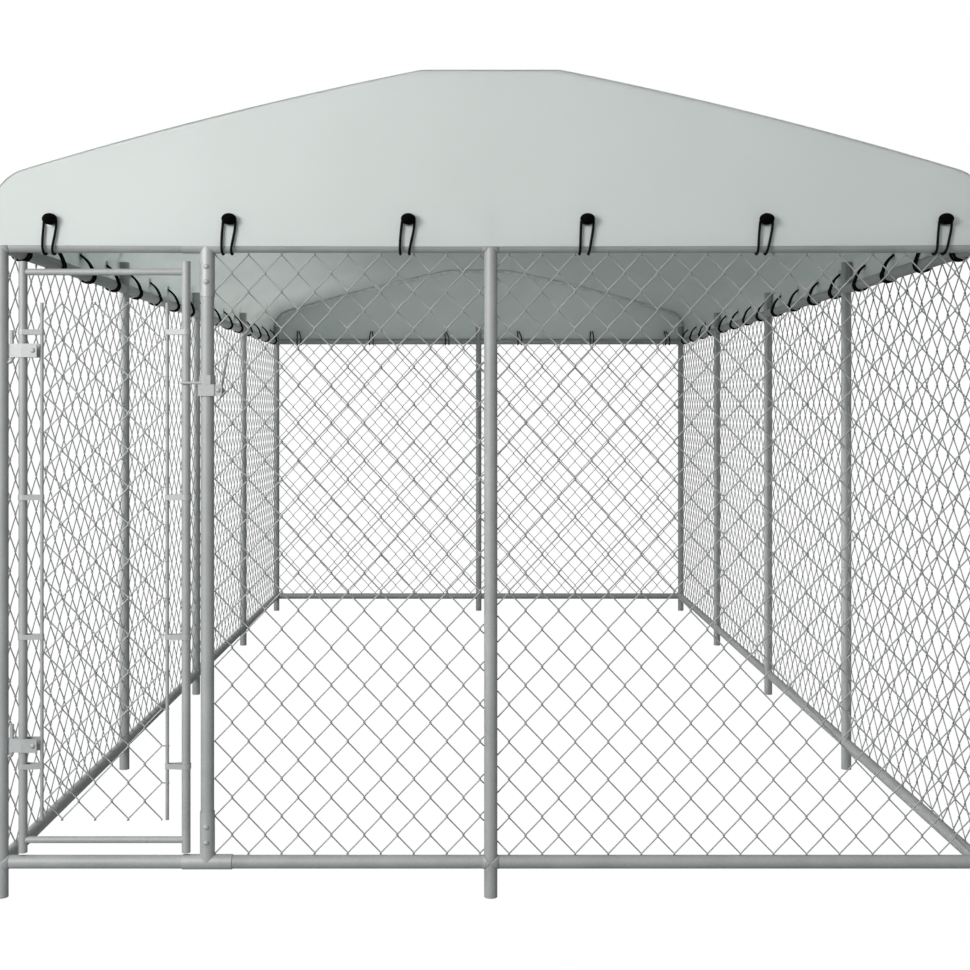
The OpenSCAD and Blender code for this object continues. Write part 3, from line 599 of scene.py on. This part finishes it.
class KENNEL_OT_chain_link(bpy.types.Operator):
    """Weave the chain-link of the walls and of the door"""

    bl_idname = "kennel.chain_link"
    bl_label = "Chain-link"

    def execute(self, context):
        s = context.scene.kennel_mesh
        zinc = galvanised("zinc_wire", context.scene.kennel_finishes.wire, 0.3, 0.5)
        edge = TUBE_R + WIRE_INSET
        bay_w = BAY - 2 * edge
        low, high = LOW_Z + edge, TOP_Z - edge
        tee_edge = TEE_R + WIRE_INSET
        tall = high - low
        plain = woven_panel(bay_w, tall, fitted(bay_w, s.width), s.height, s.wire, 0.0)
        right = woven_panel(bay_w, tall, s.width, s.height, s.wire, s.right_shift)
        left = woven_panel(bay_w, tall, s.width, s.height, s.wire, s.left_shift)
        start = DOOR_POST_X + tee_edge
        tee_w = -edge - start
        tee_h = TOP_Z - LOW_Z - 2 * tee_edge
        beside = woven_panel(tee_w, tee_h, s.width, s.height, s.wire, 0.0)
        bars_low, bars_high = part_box("door_tension_bars")
        bar_d = breadth("door_tension_bars", 1)
        door_x = bars_low.x + bar_d + WIRE_INSET
        door_w = bars_high.x - bar_d - WIRE_INSET - door_x
        door_h = bars_high.z - bars_low.z
        door = woven_panel(door_w, door_h, s.width, s.height, s.wire, s.door_shift, cut=False)
        bays = [-HALF_L + k * BAY + edge for k in range(BAYS)]
        rows = {
            "front_chain_link": (
                0,
                [(beside, (start, -HALF_L, LOW_Z + tee_edge)), (right, (edge, -HALF_L, low))],
            ),
            "back_chain_link": (0, [(left, (-HALF_W + edge, HALF_L, low)), (right, (edge, HALF_L, low))]),
            "left_chain_link": (1, [(plain, (-HALF_W, y, low)) for y in bays]),
            "right_chain_link": (1, [(plain, (HALF_W, y, low)) for y in bays]),
            "door_chain_link": (0, [(door, (door_x, -HALF_L, bars_low.z))]),
        }
        for node, (turn, panels) in rows.items():
            across = (1, 0, 0) if turn else (0, 1, 0)
            wires = [placed(path, turn, at) for paths, at in panels for path in paths]
            verts, faces = joined(swept_tubes(wire, s.wire / 2, s.sides, across)[:2] for wire in wires)
            piece = new_piece("woven_" + node, verts, faces, zinc)
            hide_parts(node)
            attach(piece, "door" if node == "door_chain_link" else "run_frame")
        door = placed(door[0], 0, (door_x, -HALF_L, bars_low.z))
        self.ties(door, bars_low.x, bars_high.x, bar_d / 2, s, zinc)
        return {"FINISHED"}

    def ties(self, door, left, right, bar_r, s, zinc):
        """Wire ties that hold the door panel's outermost bends to the tension bars.

        Each is a flat loop round bar and wire: half a circle about the bar, half a small one about the wire,
        and the two straight runs between them.
        """
        r = s.tie / 2
        a = np.linspace(0, math.pi, 9)
        loops = []
        for wire, bar, hand in ((door[0], left + bar_r, -1), (door[-1], right - bar_r, 1)):
            bends = wire[np.abs(wire[:, 1] + HALF_L) < 1e-6]
            edge = bends[:, 0].min() if hand < 0 else bends[:, 0].max()
            bends = bends[np.abs(bends[:, 0] - edge) < 1e-6][1:-1]
            big, small = bar_r + r, s.wire / 2 + r
            arcs = [
                np.stack([bar + hand * big * np.sin(a), big * np.cos(a)], -1),
                np.stack([edge - hand * small * np.sin(a), -small * np.cos(a)], -1),
            ]
            flat = np.concatenate(arcs)
            loop = np.stack([flat[:, 0], flat[:, 1] - HALF_L, np.zeros(len(flat))], -1)
            loops.append(loop[None] + bends[:, None, 2:] * [0, 0, 1])
        verts, faces, _ = swept_tubes(np.concatenate(loops), r, s.sides, (0, 0, 1), closed=True)
        piece = new_piece("door_mesh_ties", verts, faces, zinc)
        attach(piece, "door")


# Canopy


def roof_line(s, inset):
    """Half of the roof's cross-section from the ridge's middle to the hem, as [x, z] points.

    A flat ridge, a short bend of the ridge radius down to the pitch, a long gentle arc, an eave arc that
    ends upright at the side wall, and the wall down to the hem, all tangent; inset moves it inwards.
    """

    def steps(count):
        """Even steps up to 1, without the start."""
        return np.linspace(0, 1, count + 1)[1:]

    def arc(mid, r, a):
        """Points at angles from upright, on a circle brought in by the inset."""
        return mid + (r - inset) * np.stack([np.sin(a), np.cos(a)], -1)

    across = SIDE_X - s.flat - s.eave + (s.slope - s.ridge) * math.sin(s.pitch)
    turn = math.asin(across / (s.slope - s.eave))
    ridge_mid = np.array([s.flat, RIDGE_Z - s.ridge])
    slope_mid = ridge_mid + (s.ridge - s.slope) * np.array([math.sin(s.pitch), math.cos(s.pitch)])
    eave_mid = slope_mid + (s.slope - s.eave) * np.array([math.sin(turn), math.cos(turn)])
    flat_x = np.linspace(0, s.flat, 9)
    flat = np.stack([flat_x, np.full_like(flat_x, RIDGE_Z - inset)], -1)
    bend = arc(ridge_mid, s.ridge, s.pitch * steps(12))
    slope = arc(slope_mid, s.slope, s.pitch + (turn - s.pitch) * steps(28))
    eave = arc(eave_mid, s.eave, turn + (math.pi / 2 - turn) * steps(16))
    hem = [0.985, 0.993, 1.0]
    wall_z = eave_mid[1] + (HEM_Z - eave_mid[1]) * np.append(steps(16)[:-1], hem)
    wall = np.stack([np.full_like(wall_z, SIDE_X - inset), wall_z], -1)
    return np.concatenate([flat, bend, slope, eave, wall])


def mirrored(half):
    """A half section from the middle outwards, and its mirror image before it."""
    return np.concatenate([half[:0:-1] * [-1, 1], half])


class KENNEL_OT_canopy(bpy.types.Operator):
    """Sew the canopy: one roof sheet, two end panels and the piped seams between them"""

    bl_idname = "kennel.canopy"
    bl_label = "Canopy"

    def execute(self, context):
        s = context.scene.kennel_canopy
        cloth = tarpaulin(s.colour)
        line = mirrored(roof_line(s, ROOF_INSET))
        along = np.linspace(-END_Y, END_Y, 141)
        run = np.concatenate([[0], np.cumsum(np.linalg.norm(np.diff(line, axis=0), axis=-1))])
        x = np.broadcast_to(line[None, :, 0], (len(along), len(line)))
        z = np.broadcast_to(line[None, :, 1], x.shape)
        y = np.broadcast_to(along[:, None], x.shape)
        z = z - self.slack(s, x, y, z)
        depth = s.fold * self.folds(x, y, z)
        heading = np.gradient(line, axis=0)
        normal = unit(np.stack([-heading[:, 1], heading[:, 0]], -1))
        verts, faces = grid_surface(np.stack([x - depth * normal[:, 0], y, z - depth * normal[:, 1]], -1))
        uv = np.stack([np.broadcast_to(run[None, :], x.shape), y + END_Y], -1).reshape(-1, 2)
        roof = new_piece("canopy_roof_sheet", verts, faces, cloth, uv)
        self.thicken(roof, s.thickness)
        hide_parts("canopy_roof")
        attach(roof, "run_frame")
        for name, node, out, bow in (
            ("canopy_front_sheet", "canopy_front", -1, "roof_bow_front"),
            ("canopy_back_sheet", "canopy_back", 1, "roof_bow_back"),
        ):
            self.end_panel(s, cloth, name, node, out, bow)
        self.piping(s, cloth)
        return {"FINISHED"}

    def slack(self, s, x, y, z):
        """How far the roof sheet hangs below its line.

        A sag that is a parabola along the roof, and waves that are the product of two slanting sines; both fade
        out over a hand's breadth above the eaves.
        """
        lift = np.clip((z - TOP_Z - s.eave_rise) / EAVE_FADE, 0, 1)
        spread = 1 - (y / END_Y) ** 2
        ripple = np.sin(5.2 * y + 7.4 * x) * np.sin(2.1 * y - 3.3 * x + 0.6)
        return lift * spread * (s.sag + s.wave * (1 + ripple))

    def folds(self, x, y, z):
        """Depth of the eaves' folds, from 0 to 1.

        Between two bungees the slack cloth falls in by a squared sine of the place along the eave, crossed by
        two slanting creases; it fades out at the rail, up the slope and at the two ends.
        """
        up = (z - TOP_Z - FOLD_FOOT) / FOLD_TALL
        band = np.exp(-((up - 0.35) ** 2) / 0.12) * np.clip(up * 4, 0, 1)
        ends = np.clip((END_Y - np.abs(y)) / 0.25 - 0.4, 0, 1)
        place = (y + HALF_L) / (BAY / BAY_BUNGEES) + np.where(x > 0, 0.13, 0.0)
        fall = np.sin(np.pi * place) ** 2
        one = np.sin(2 * np.pi * (0.83 * place + 1.1 * up))
        other = np.sin(2 * np.pi * (0.37 * place - 0.6 * up))
        crease = one * other
        return band * ends * (0.6 * fall + 0.4 * crease * crease)

    def thicken(self, piece, thickness):
        """Give a sheet its thickness on the inner side."""
        wall = piece.modifiers.new("thickness", "SOLIDIFY")
        wall.thickness = thickness
        wall.offset = -1.0

    def end_panel(self, s, cloth, name, node, out, bow):
        """Upright end: x runs across, height from the hem to the roof line, with a slight belly.

        The belly is the product of a sine across and one upwards. The hem sags in a parabola to its middle.
        """
        half = roof_line(s, END_INSET)
        cut = half[: np.argmax(half[:, 0] >= half[:, 0].max() - 1e-9) + 1]
        x, top = mirrored(cut).T
        v = np.concatenate([[0, 0.002, 0.004], np.linspace(0, 1, 33)[1:]])[:, None]
        edge = 1 - (x / x.max()) ** 2
        bottom = HEM_Z + HEM_GAP - s.hem_sag * edge
        z = bottom + (top - bottom) * v
        across = np.broadcast_to(x, z.shape)
        belly = BELLY * np.sin(across * 6.0) * np.sin(z * 9.0) * edge
        y = out * (END_Y - (END_INSET + belly))
        points = np.stack([across, y, z], -1)
        if out > 0:
            points = points[:, ::-1]
        verts, faces = grid_surface(points)
        uv = np.stack([points[..., 0] + SIDE_X, points[..., 2] - HEM_Z], -1).reshape(-1, 2)
        piece = new_piece(name, verts, faces, cloth, uv)
        self.thicken(piece, s.thickness)
        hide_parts(node)
        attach(piece, "run_frame")

    def piping(self, s, cloth):
        """Round bead along each end's roof line, where the roof sheet is sewn to the end panel."""
        x, z = mirrored(roof_line(s, PIPING_INSET)).T
        ends = [np.full_like(x, out * (END_Y - PIPING_INSET)) for out in (-1, 1)]
        paths = np.stack([np.stack([x, y, z], -1) for y in ends])
        verts, faces, uv = swept_tubes(paths, PIPING_R, 8, (0, 1, 0))
        piece = new_piece("canopy_seam_piping", verts, faces, cloth, uv)
        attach(piece, "run_frame")


# Bungees


def bungee_places(s):
    """Rows of [x, y, quarter turns] of the bungees, each turned so that its outside faces local -Y."""
    front = s.front_shift + (np.arange(FRONT_BUNGEES) - (FRONT_BUNGEES - 1) / 2) * s.front_pitch
    side = -HALF_L + (np.arange(BAYS * BAY_BUNGEES) + 0.5) * BAY / BAY_BUNGEES
    return (
        [(x, -HALF_L, 0) for x in front]
        + [(x, HALF_L, 2) for x in front]
        + [(-HALF_W, y, 3) for y in side]
        + [(HALF_W, y, 1) for y in side]
    )


def strand_lean(s, mesh, x, y, turn):
    """How far a loop hangs to one side at the rail: the usual drift, less where a bend of the mesh is near.

    At the panel's top both strands keep to one opening, clear of its wires, or stand on either side of a bend,
    whichever is nearer.
    """
    edge = TUBE_R + WIRE_INSET
    pitch = mesh.width
    if turn % 2:
        pitch = fitted(BAY - 2 * edge, mesh.width)
        past = (y + HALF_L) % BAY - edge
    elif x > 0:
        past = x - edge - mesh.right_shift
    elif turn == 2:
        past = x + HALF_W - edge - mesh.left_shift
    elif x > DOOR_POST_X:
        past = x - DOOR_POST_X - TEE_R - WIRE_INSET
    else:
        return -s.drift
    sign = 1 if turn in (0, 1) else -1
    clear = s.at_rail + s.cord / 2 + CORD_CLEAR_WIRES * mesh.wire
    phase = past % pitch
    wanted = phase - sign * s.drift
    places = (min(max(wanted, clear), pitch - clear), 0.0, pitch)
    return sign * (min(places, key=lambda at: abs(at - wanted)) - phase)


def strand_line(s, hand, lean):
    """Centre line of one strand in a bungee's own axes, with the rail's axis at the origin.

    From inside the ball down the outside, in an arc that closes up to the rail's underside, and up the
    inside in a slight bulge through the eyelet into the ball. Sideways, the left strand swings out at once by a
    sine, the right one eases over until it is under the rail, and both ease back to the eyelet.
    """
    r = s.cord / 2
    out = EYELET_FACE + r
    hug = TUBE_R + CORD_GAP + r
    rise = EYELET_Z - TOP_Z
    far = math.hypot(EYELET_BACK, rise)
    leave = math.pi - math.atan2(rise, EYELET_BACK) - math.acos(hug / far)
    down = np.linspace(rise - CORD_IN_BALL, 0.0, 12)
    outer = np.stack([np.full_like(down, -out), down], -1)
    turn = np.linspace(0, 1, 19)[1:, None]
    a = -math.pi / 2 - (math.pi + leave) * turn
    reach = out + (hug - out) * eased(np.clip(turn / 0.4, 0, 1))
    arc = reach * np.concatenate([np.sin(a), np.cos(a)], -1)
    lie = np.array([-math.sin(leave), math.cos(leave)])
    run = (hug * math.cos(leave) + out) / math.sin(leave)
    t = np.linspace(0, 1, 11)[1:, None]
    bulge = s.bulge * np.sin(np.pi * np.clip(t / 0.9, 0, 1)) * np.array([lie[1], -lie[0]])
    inner = arc[-1] + t * run * lie + bulge
    yz = np.concatenate([outer, arc, inner])
    point = np.arange(len(outer) + len(arc))
    if hand < 0:
        swing = np.sin(np.pi / 2 * np.minimum(point / 13, 1))
    else:
        swing = eased(np.minimum(point / 17, 1))
    rail = hand * s.at_rail + lean
    outside = hand * s.at_ball + (rail - hand * s.at_ball) * swing
    inside = rail + (hand * s.at_eyelet - rail) * eased(0.98 * t[:, 0])
    return np.stack([np.concatenate([outside, inside]), yz[:, 0], yz[:, 1]], -1)


def ball_surface(s):
    """Ball as a grid of turn and height: a sphere pressed flat at the back, then squeezed to an oval.

    Radius at each direction is the soft minimum of the sphere's radius and the distance to the flat: the two
    to a high negative power, added, and the root taken. A higher power makes the flat's edge sharper.
    """
    r = s.ball / 2
    a = np.linspace(0, 2 * math.pi, 25)[:-1]
    h = np.linspace(-math.pi / 2, math.pi / 2, 15)[1:-1]
    d = np.stack(
        [
            np.cos(h)[:, None] * np.cos(a)[None],
            np.cos(h)[:, None] * np.sin(a)[None],
            np.broadcast_to(np.sin(h)[:, None], (len(h), len(a))),
        ],
        -1,
    )
    back = BALL_BACK / np.maximum(d[..., 1], 1e-3)
    radius = (r**-BALL_EDGE + back**-BALL_EDGE) ** (-1 / BALL_EDGE)
    points = d * radius[..., None] * BALL_OVAL + [0, 0, BALL_RISE]
    rows, columns, _ = points.shape
    quads = ring_quads(rows, columns, False)[:, [0, 3, 2, 1]]
    ring = np.arange(columns)[None]
    return points.reshape(-1, 3), [quads, ring[:, ::-1], (rows - 1) * columns + ring]


class KENNEL_OT_bungees(bpy.types.Operator):
    """Make the elastic cords and the balls of all bungees"""

    bl_idname = "kennel.bungees"
    bl_label = "Bungees"

    def execute(self, context):
        s = context.scene.kennel_bungees
        places = bungee_places(s)
        lies = {0: [], 1: []}
        for x, y, turn in places:
            lean = strand_lean(s, context.scene.kennel_mesh, x, y, turn)
            strands = np.stack([strand_line(s, -1, lean), strand_line(s, 1, lean)])
            lies[turn % 2].append(placed(strands, turn, (x, y, TOP_Z)))
        tubes = [
            swept_tubes(np.concatenate(lies[turn]), s.cord / 2, 8, across)
            for turn, across in ((0, (1, 0, 0)), (1, (0, 1, 0)))
        ]
        verts, faces = joined(tube[:2] for tube in tubes)
        uv = np.concatenate([tube[2] for tube in tubes])
        cords = new_piece("elastic_cords", verts, faces, braided(s.colour), uv)
        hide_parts("bungee_cords")
        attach(cords, "run_frame")

        points, shape = ball_surface(s)
        points = points - [0, EYELET_FACE + BALL_BACK, 0]
        verts = np.concatenate([placed(points, turn, (x, y, EYELET_Z)) for x, y, turn in places])
        faces = [repeated(f, len(places), len(points)) for f in shape]
        balls = new_piece("bungee_ball_heads", verts, faces, moulded("ball_plastic", s.colour, 0.8, 0.03))
        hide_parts("bungee_balls")
        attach(balls, "run_frame")
        return {"FINISHED"}


# Welds and finishes


class KENNEL_OT_welds(bpy.types.Operator):
    """Weld each rail end to its post along the line where the two tubes meet"""

    bl_idname = "kennel.welds"
    bl_label = "Welds"

    def execute(self, context):
        """The two equal tubes meet where x = |r cos a|, y = r sin a, z = r cos a, rounded off by a small nose.

        Each weld is a closed band round the rail's end: a low roll on that line that runs out flush on the
        rail, and back inside the rail's wall.
        """
        s = context.scene.kennel_finishes
        a = np.linspace(0, 2 * math.pi, 41)[:-1]
        r, w = TUBE_R, s.weld
        meet = np.hypot(r * np.cos(a), w)
        end = np.full(len(a), r + 3 * w)
        x = np.stack([meet, meet + 0.75 * w, meet + 1.5 * w, meet + 2.5 * w, end, end, meet + w])
        away = r + w * np.array([-0.4, 0.45, 0.55, 0.3, 0.15, -0.8, -0.8])[:, None]
        band = np.stack([x, away * np.sin(a), away * np.cos(a)], -1)
        rows, columns, _ = band.shape
        bands = []
        for z in (LOW_Z, TOP_Z):
            for y in (-HALF_L, HALF_L):
                for x in (-HALF_W, 0.0):
                    bands += [placed(band, 0, (x, y, z)), placed(band, 2, (x + BAY, y, z))]
            for x in (-HALF_W, HALF_W):
                for y in -HALF_L + BAY * np.arange(BAYS):
                    bands += [placed(band, 1, (x, y, z)), placed(band, 3, (x, y + BAY, z))]
        faces = [repeated(ring_quads(rows, columns, True), len(bands), rows * columns)]
        zinc = galvanised("zinc_weld", s.tube, 0.2, 0.55)
        piece = new_piece("weld_bands", np.stack(bands).reshape(-1, 3), faces, zinc)
        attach(piece, "run_frame")
        return {"FINISHED"}


class KENNEL_OT_finishes(bpy.types.Operator):
    """Give the frame's tubes, bows, hardware, plugs and eyelets their finishes"""

    bl_idname = "kennel.finishes"
    bl_label = "Finishes"

    def execute(self, context):
        s = context.scene.kennel_finishes
        finish = {
            "tube": galvanised("zinc_tube", s.tube, 0.2, 0.55),
            "hardware": galvanised("zinc_hardware", s.hardware, 0.25, 0.5),
            "plug": moulded("post_plug", s.plug, 0.5),
            "bow": moulded("bow_coat", s.bow, 0.6),
            "eyelet": galvanised("plated_eyelet", s.hardware, 0.8, 0.3),
        }
        for part in frame["record"]["subparts"]:
            coat = finish.get(part["material_slot"])
            if coat is None:
                continue
            if part["node"].startswith("roof_bow_"):
                coat = finish["bow"]
            mesh = NODES[part["node"]].data
            mesh.materials.clear()
            mesh.materials.append(coat)
        return {"FINISHED"}


# Stage

# Soft lights: name, place, point faced, size, share of the key light's power, spread in degrees
LAMPS = (
    ("key", (-3.9, -6.9, 3.0), (0.2, -2.4, 1.5), (2.6, 2.6), 1.0, 180),
    ("side", (-5.0, 0.0, 3.2), (-1.2, 0.0, 2.1), (5.0, 1.5), 0.33, 180),
    ("wash", (-4.8, -0.4, 1.6), (1.4, -0.4, 0.8), (5.0, 0.8), 0.076, 32),
    ("under_glow", (-0.1, 0.5, 0.3), (-1.25, 0.5, 2.0), (3.8, 0.2), 0.0134, 46),
    ("end_glow", (0.0, -1.0, 0.5), (0.0, 2.82, 2.12), (2.2, 0.4), 0.0037, 24),
)
FLOOR_HALF = 40.0


def seen_white(tree, output, white, unseen):
    """Output node fed by one shader where the camera looks and by another for all other light."""
    out = tree.nodes.new(output)
    seen = tree.nodes.new("ShaderNodeLightPath")
    mix = tree.nodes.new("ShaderNodeMixShader")
    white.inputs["Color"].default_value = (1, 1, 1, 1)
    tree.links.new(seen.outputs["Is Camera Ray"], mix.inputs["Fac"])
    tree.links.new(unseen.outputs[0], mix.inputs[1])
    tree.links.new(white.outputs[0], mix.inputs[2])
    tree.links.new(mix.outputs["Shader"], out.inputs["Surface"])


class KENNEL_OT_stage(bpy.types.Operator):
    """Set up the pale floor, the soft lights and the camera"""

    bl_idname = "kennel.stage"
    bl_label = "Stage"

    def execute(self, context):
        scene = context.scene
        s = scene.kennel_stage
        self.surroundings(scene, s)
        self.floor()
        for name, at, aim, size, share, spread in LAMPS:
            self.lamp(scene, name, at, aim, size, s.key * share, spread)
        self.camera(scene, s)
        scene.view_settings.view_transform = "Standard"
        scene.view_settings.look = "None"
        return {"FINISHED"}

    def camera(self, scene, s):
        """Level camera where the photo was taken from, shifted instead of tilted."""
        data = bpy.data.cameras.new("photo_camera")
        data.lens = s.lens
        data.sensor_width = 36.0
        data.shift_x, data.shift_y = s.shift
        data.clip_end = 200.0
        camera = bpy.data.objects.new("photo_camera", data)
        camera.location = s.eye
        camera.rotation_euler = (math.pi / 2, 0, 0)
        scene.collection.objects.link(camera)
        scene.camera = camera

    def surroundings(self, scene, s):
        """White backdrop, and light that is stronger from the upper left than from the lower right."""
        world = bpy.data.worlds.new("studio")
        world.use_nodes = True
        scene.world = world
        tree = world.node_tree
        tree.nodes.clear()
        soft = tree.nodes.new("ShaderNodeBackground")
        soft.inputs["Strength"].default_value = s.fill
        way = tree.nodes.new("ShaderNodeTexCoord")
        lean = tree.nodes.new("ShaderNodeVectorMath")
        lean.operation = "DOT_PRODUCT"
        lean.inputs[1].default_value = (-0.48, -0.28, 0.6)
        tree.links.new(way.outputs["Generated"], lean.inputs[0])
        ramp = tree.nodes.new("ShaderNodeMapRange")
        for key, value in (("From Min", -0.75), ("From Max", 0.75), ("To Min", 0.08), ("To Max", 1.35)):
            ramp.inputs[key].default_value = value
        tree.links.new(lean.outputs["Value"], ramp.inputs["Value"])
        tree.links.new(ramp.outputs["Result"], soft.inputs["Color"])
        white = tree.nodes.new("ShaderNodeBackground")
        seen_white(tree, "ShaderNodeOutputWorld", white, soft)

    def floor(self):
        """Pale floor that reads as white and throws little light back."""
        verts = FLOOR_HALF * np.array([[-1, -1, 0], [1, -1, 0], [1, 1, 0], [-1, 1, 0]])
        material = bpy.data.materials.new("pale_floor")
        material.use_nodes = True
        tree = material.node_tree
        tree.nodes.clear()
        matt = tree.nodes.new("ShaderNodeBsdfDiffuse")
        matt.inputs["Color"].default_value = (0.372, 0.4, 0.41, 1)
        white = tree.nodes.new("ShaderNodeEmission")
        seen_white(tree, "ShaderNodeOutputMaterial", white, matt)
        floor = new_piece("floor", verts, [np.array([[0, 1, 2, 3]])], material, smooth=False)

    def lamp(self, scene, name, at, aim, size, power, spread):
        """Rectangular soft light at a place, turned to face a point."""
        data = bpy.data.lights.new(name, "AREA")
        data.shape = "RECTANGLE"
        data.size, data.size_y = size
        data.energy = power
        data.spread = math.radians(spread)
        lamp = bpy.data.objects.new(name, data)
        lamp.location = at
        lamp.visible_camera = False
        away = np.subtract(at, aim)
        lamp.rotation_euler = (
            math.atan2(math.hypot(away[0], away[1]), away[2]),
            0,
            math.atan2(away[0], -away[1]),
        )
        scene.collection.objects.link(lamp)


class KENNEL_PT_panel(bpy.types.Panel):
    """Buttons for the kennel's pieces."""

    bl_idname = "KENNEL_PT_panel"
    bl_label = "Kennel"
    bl_space_type = "VIEW_3D"
    bl_region_type = "UI"
    bl_category = "Kennel"

    def draw(self, context):
        for step in STEPS:
            self.layout.operator(step.bl_idname)


SETTINGS = {
    "kennel_mesh": KennelMesh,
    "kennel_canopy": KennelCanopy,
    "kennel_bungees": KennelBungees,
    "kennel_finishes": KennelFinishes,
    "kennel_stage": KennelStage,
}
STEPS = (
    KENNEL_OT_stage,
    KENNEL_OT_finishes,
    KENNEL_OT_welds,
    KENNEL_OT_chain_link,
    KENNEL_OT_canopy,
    KENNEL_OT_bungees,
)


def register():
    for group in SETTINGS.values():
        bpy.utils.register_class(group)
    for name, group in SETTINGS.items():
        setattr(bpy.types.Scene, name, bpy.props.PointerProperty(type=group))
    for step in STEPS:
        bpy.utils.register_class(step)
    bpy.utils.register_class(KENNEL_PT_panel)


def unregister():
    bpy.utils.unregister_class(KENNEL_PT_panel)
    for step in reversed(STEPS):
        bpy.utils.unregister_class(step)
    for name in SETTINGS:
        delattr(bpy.types.Scene, name)
    for group in reversed(SETTINGS.values()):
        bpy.utils.unregister_class(group)


def main():
    register()
    for step in STEPS:
        name = step.bl_idname.split(".")[1]
        getattr(bpy.ops.kennel, name)()


if __name__ == "__main__":
    main()
